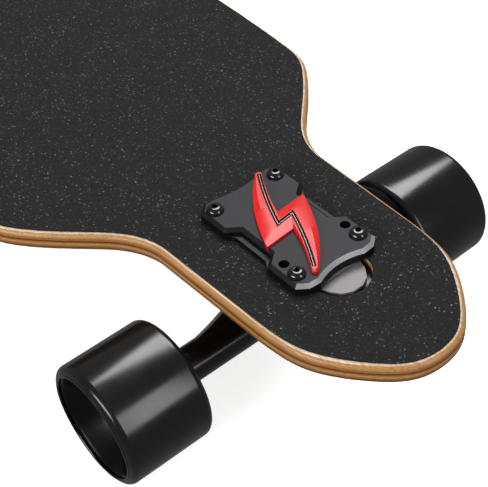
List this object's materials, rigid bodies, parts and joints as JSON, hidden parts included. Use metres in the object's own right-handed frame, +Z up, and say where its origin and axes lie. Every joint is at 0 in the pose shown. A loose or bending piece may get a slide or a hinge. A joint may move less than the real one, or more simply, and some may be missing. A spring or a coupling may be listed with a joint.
{
  "type": "electric skateboard",
  "caption": "Drop-through longboard deck with sprung steering trucks, hub-motor rear wheels and an electronics box bolted under the deck.",
  "frame": {"origin": "on the floor below the middle of the deck, with all four wheels resting on the floor", "axes": "+X along the board towards the front truck, +Y to the rider's left, +Z up"},
  "size_m": [0.974, 0.257, 0.1012],
  "materials": {
    "laminated_wood": "clear satin lacquer over maple and bamboo plies",
    "grip": "coarse mineral grit bonded to a black sheet",
    "black_anodised": "bead-blasted and anodised",
    "red_lacquer": "gloss red lacquer",
    "cast_silver": "as cast, lightly blasted",
    "black_gloss_metal": "gloss black powder coat",
    "black_screw": "gloss black oxide",
    "zinc_steel": "zinc plated",
    "bearing_steel": "ground and polished",
    "black_urethane": "glossy cast urethane",
    "black_core": "moulded nylon",
    "bushing_urethane": "cast urethane",
    "cup_urethane": "moulded urethane",
    "black_abs": "fine moulded texture",
    "seal_rubber": "closed-cell foam rubber",
    "cell_wrap": "shrink sleeve",
    "tray_plastic": "moulded",
    "board_green": "solder mask",
    "sink_aluminium": "extruded, black anodised",
    "controller_case": "cast",
    "motor_can": "satin black",
    "magnet_nickel": "nickel plated",
    "stator_steel": "laminated",
    "copper": "enamelled wire"
  },
  "bodies": {
    "deck": {"battery_cells": "cell_wrap", "battery_tray": "tray_plastic", "bms_board": "board_green", "boss_screws": "zinc_steel", "box_gasket": "seal_rubber", "box_screws": "black_screw", "button_switch": "tray_plastic", "cable_glands": "black_core", "charge_port": "black_core", "cup_washers": "zinc_steel", "deck": "laminated_wood", "deck_screws": "black_screw", "electronics_box": "black_abs", "front_baseplate": "cast_silver", "front_boardside_bushing": "bushing_urethane", "front_bolt_inlay": "red_lacquer", "front_cover_plate": "black_anodised", "front_kingpin": "zinc_steel", "front_pivot_cup": "cup_urethane", "front_roadside_bushing": "bushing_urethane", "grip_tape": "grip", "heat_sink": "sink_aluminium", "kingpin_nuts": "zinc_steel", "lock_nuts": "zinc_steel", "motor_controller": "controller_case", "rear_baseplate": "cast_silver", "rear_boardside_bushing": "bushing_urethane", "rear_bolt_inlay": "red_lacquer", "rear_cover_plate": "black_anodised", "rear_kingpin": "zinc_steel", "rear_pivot_cup": "cup_urethane", "rear_roadside_bushing": "bushing_urethane"},
    "front_hanger": {"front_hanger": "black_gloss_metal", "front_axle": "zinc_steel", "front_axle_nuts": "zinc_steel", "front_speed_washers": "zinc_steel", "front_bearing_spacers": "zinc_steel"},
    "rear_hanger": {"rear_hanger": "black_gloss_metal", "rear_axle": "zinc_steel", "rear_axle_nuts": "zinc_steel", "rear_stators": "stator_steel", "rear_windings": "copper"},
    "power_button": {"power_button": "black_core"},
    "charge_cap": {"charge_cap": "seal_rubber"},
    "front_left_wheel": {"front_left_tyre": "black_urethane", "front_left_core": "black_core", "front_left_bearings": "bearing_steel"},
    "rear_left_wheel": {"rear_left_tyre": "black_urethane", "rear_left_rotor_can": "motor_can", "rear_left_motor_cover": "motor_can", "rear_left_magnets": "magnet_nickel", "rear_left_bearings": "bearing_steel"},
    "front_right_wheel": {"front_right_tyre": "black_urethane", "front_right_core": "black_core", "front_right_bearings": "bearing_steel"},
    "rear_right_wheel": {"rear_right_tyre": "black_urethane", "rear_right_rotor_can": "motor_can", "rear_right_motor_cover": "motor_can", "rear_right_magnets": "magnet_nickel", "rear_right_bearings": "bearing_steel"}
  },
  "joints": [
    {"name": "front_steer", "type": "hinge", "parent": "deck", "child": "front_hanger", "pos_m": [0.36464, 0, 0.04136], "axis": [0.7071, 0, 0.7071], "range_deg": [-15, 15], "stiffness_Nm_per_rad": 40, "deforming": ["front_boardside_bushing", "front_roadside_bushing"]},
    {"name": "rear_steer", "type": "hinge", "parent": "deck", "child": "rear_hanger", "pos_m": [-0.36464, 0, 0.04136], "axis": [-0.7071, 0, 0.7071], "range_deg": [-15, 15], "stiffness_Nm_per_rad": 40, "deforming": ["rear_boardside_bushing", "rear_roadside_bushing"]},
    {"name": "front_left_spin", "type": "hinge", "parent": "front_hanger", "child": "front_left_wheel", "pos_m": [0.371, 0.1025, 0.035], "axis": [0, 1, 0], "continuous": true},
    {"name": "front_right_spin", "type": "hinge", "parent": "front_hanger", "child": "front_right_wheel", "pos_m": [0.371, -0.1025, 0.035], "axis": [0, 1, 0], "continuous": true},
    {"name": "rear_left_spin", "type": "hinge", "parent": "rear_hanger", "child": "rear_left_wheel", "pos_m": [-0.371, 0.1025, 0.035], "axis": [0, 1, 0], "continuous": true},
    {"name": "rear_right_spin", "type": "hinge", "parent": "rear_hanger", "child": "rear_right_wheel", "pos_m": [-0.371, -0.1025, 0.035], "axis": [0, 1, 0], "continuous": true},
    {"name": "power_press", "type": "slide", "parent": "deck", "child": "power_button", "axis": [0, 1, 0], "range_m": [0, 0.0012], "stiffness_N_per_m": 600, "springref_m": -0.001},
    {"name": "charge_cap_hinge", "type": "hinge", "parent": "deck", "child": "charge_cap", "pos_m": [-0.15, -0.0888, 0.0658], "axis": [-1, 0, 0], "range_deg": [0, 100]}
  ]
}
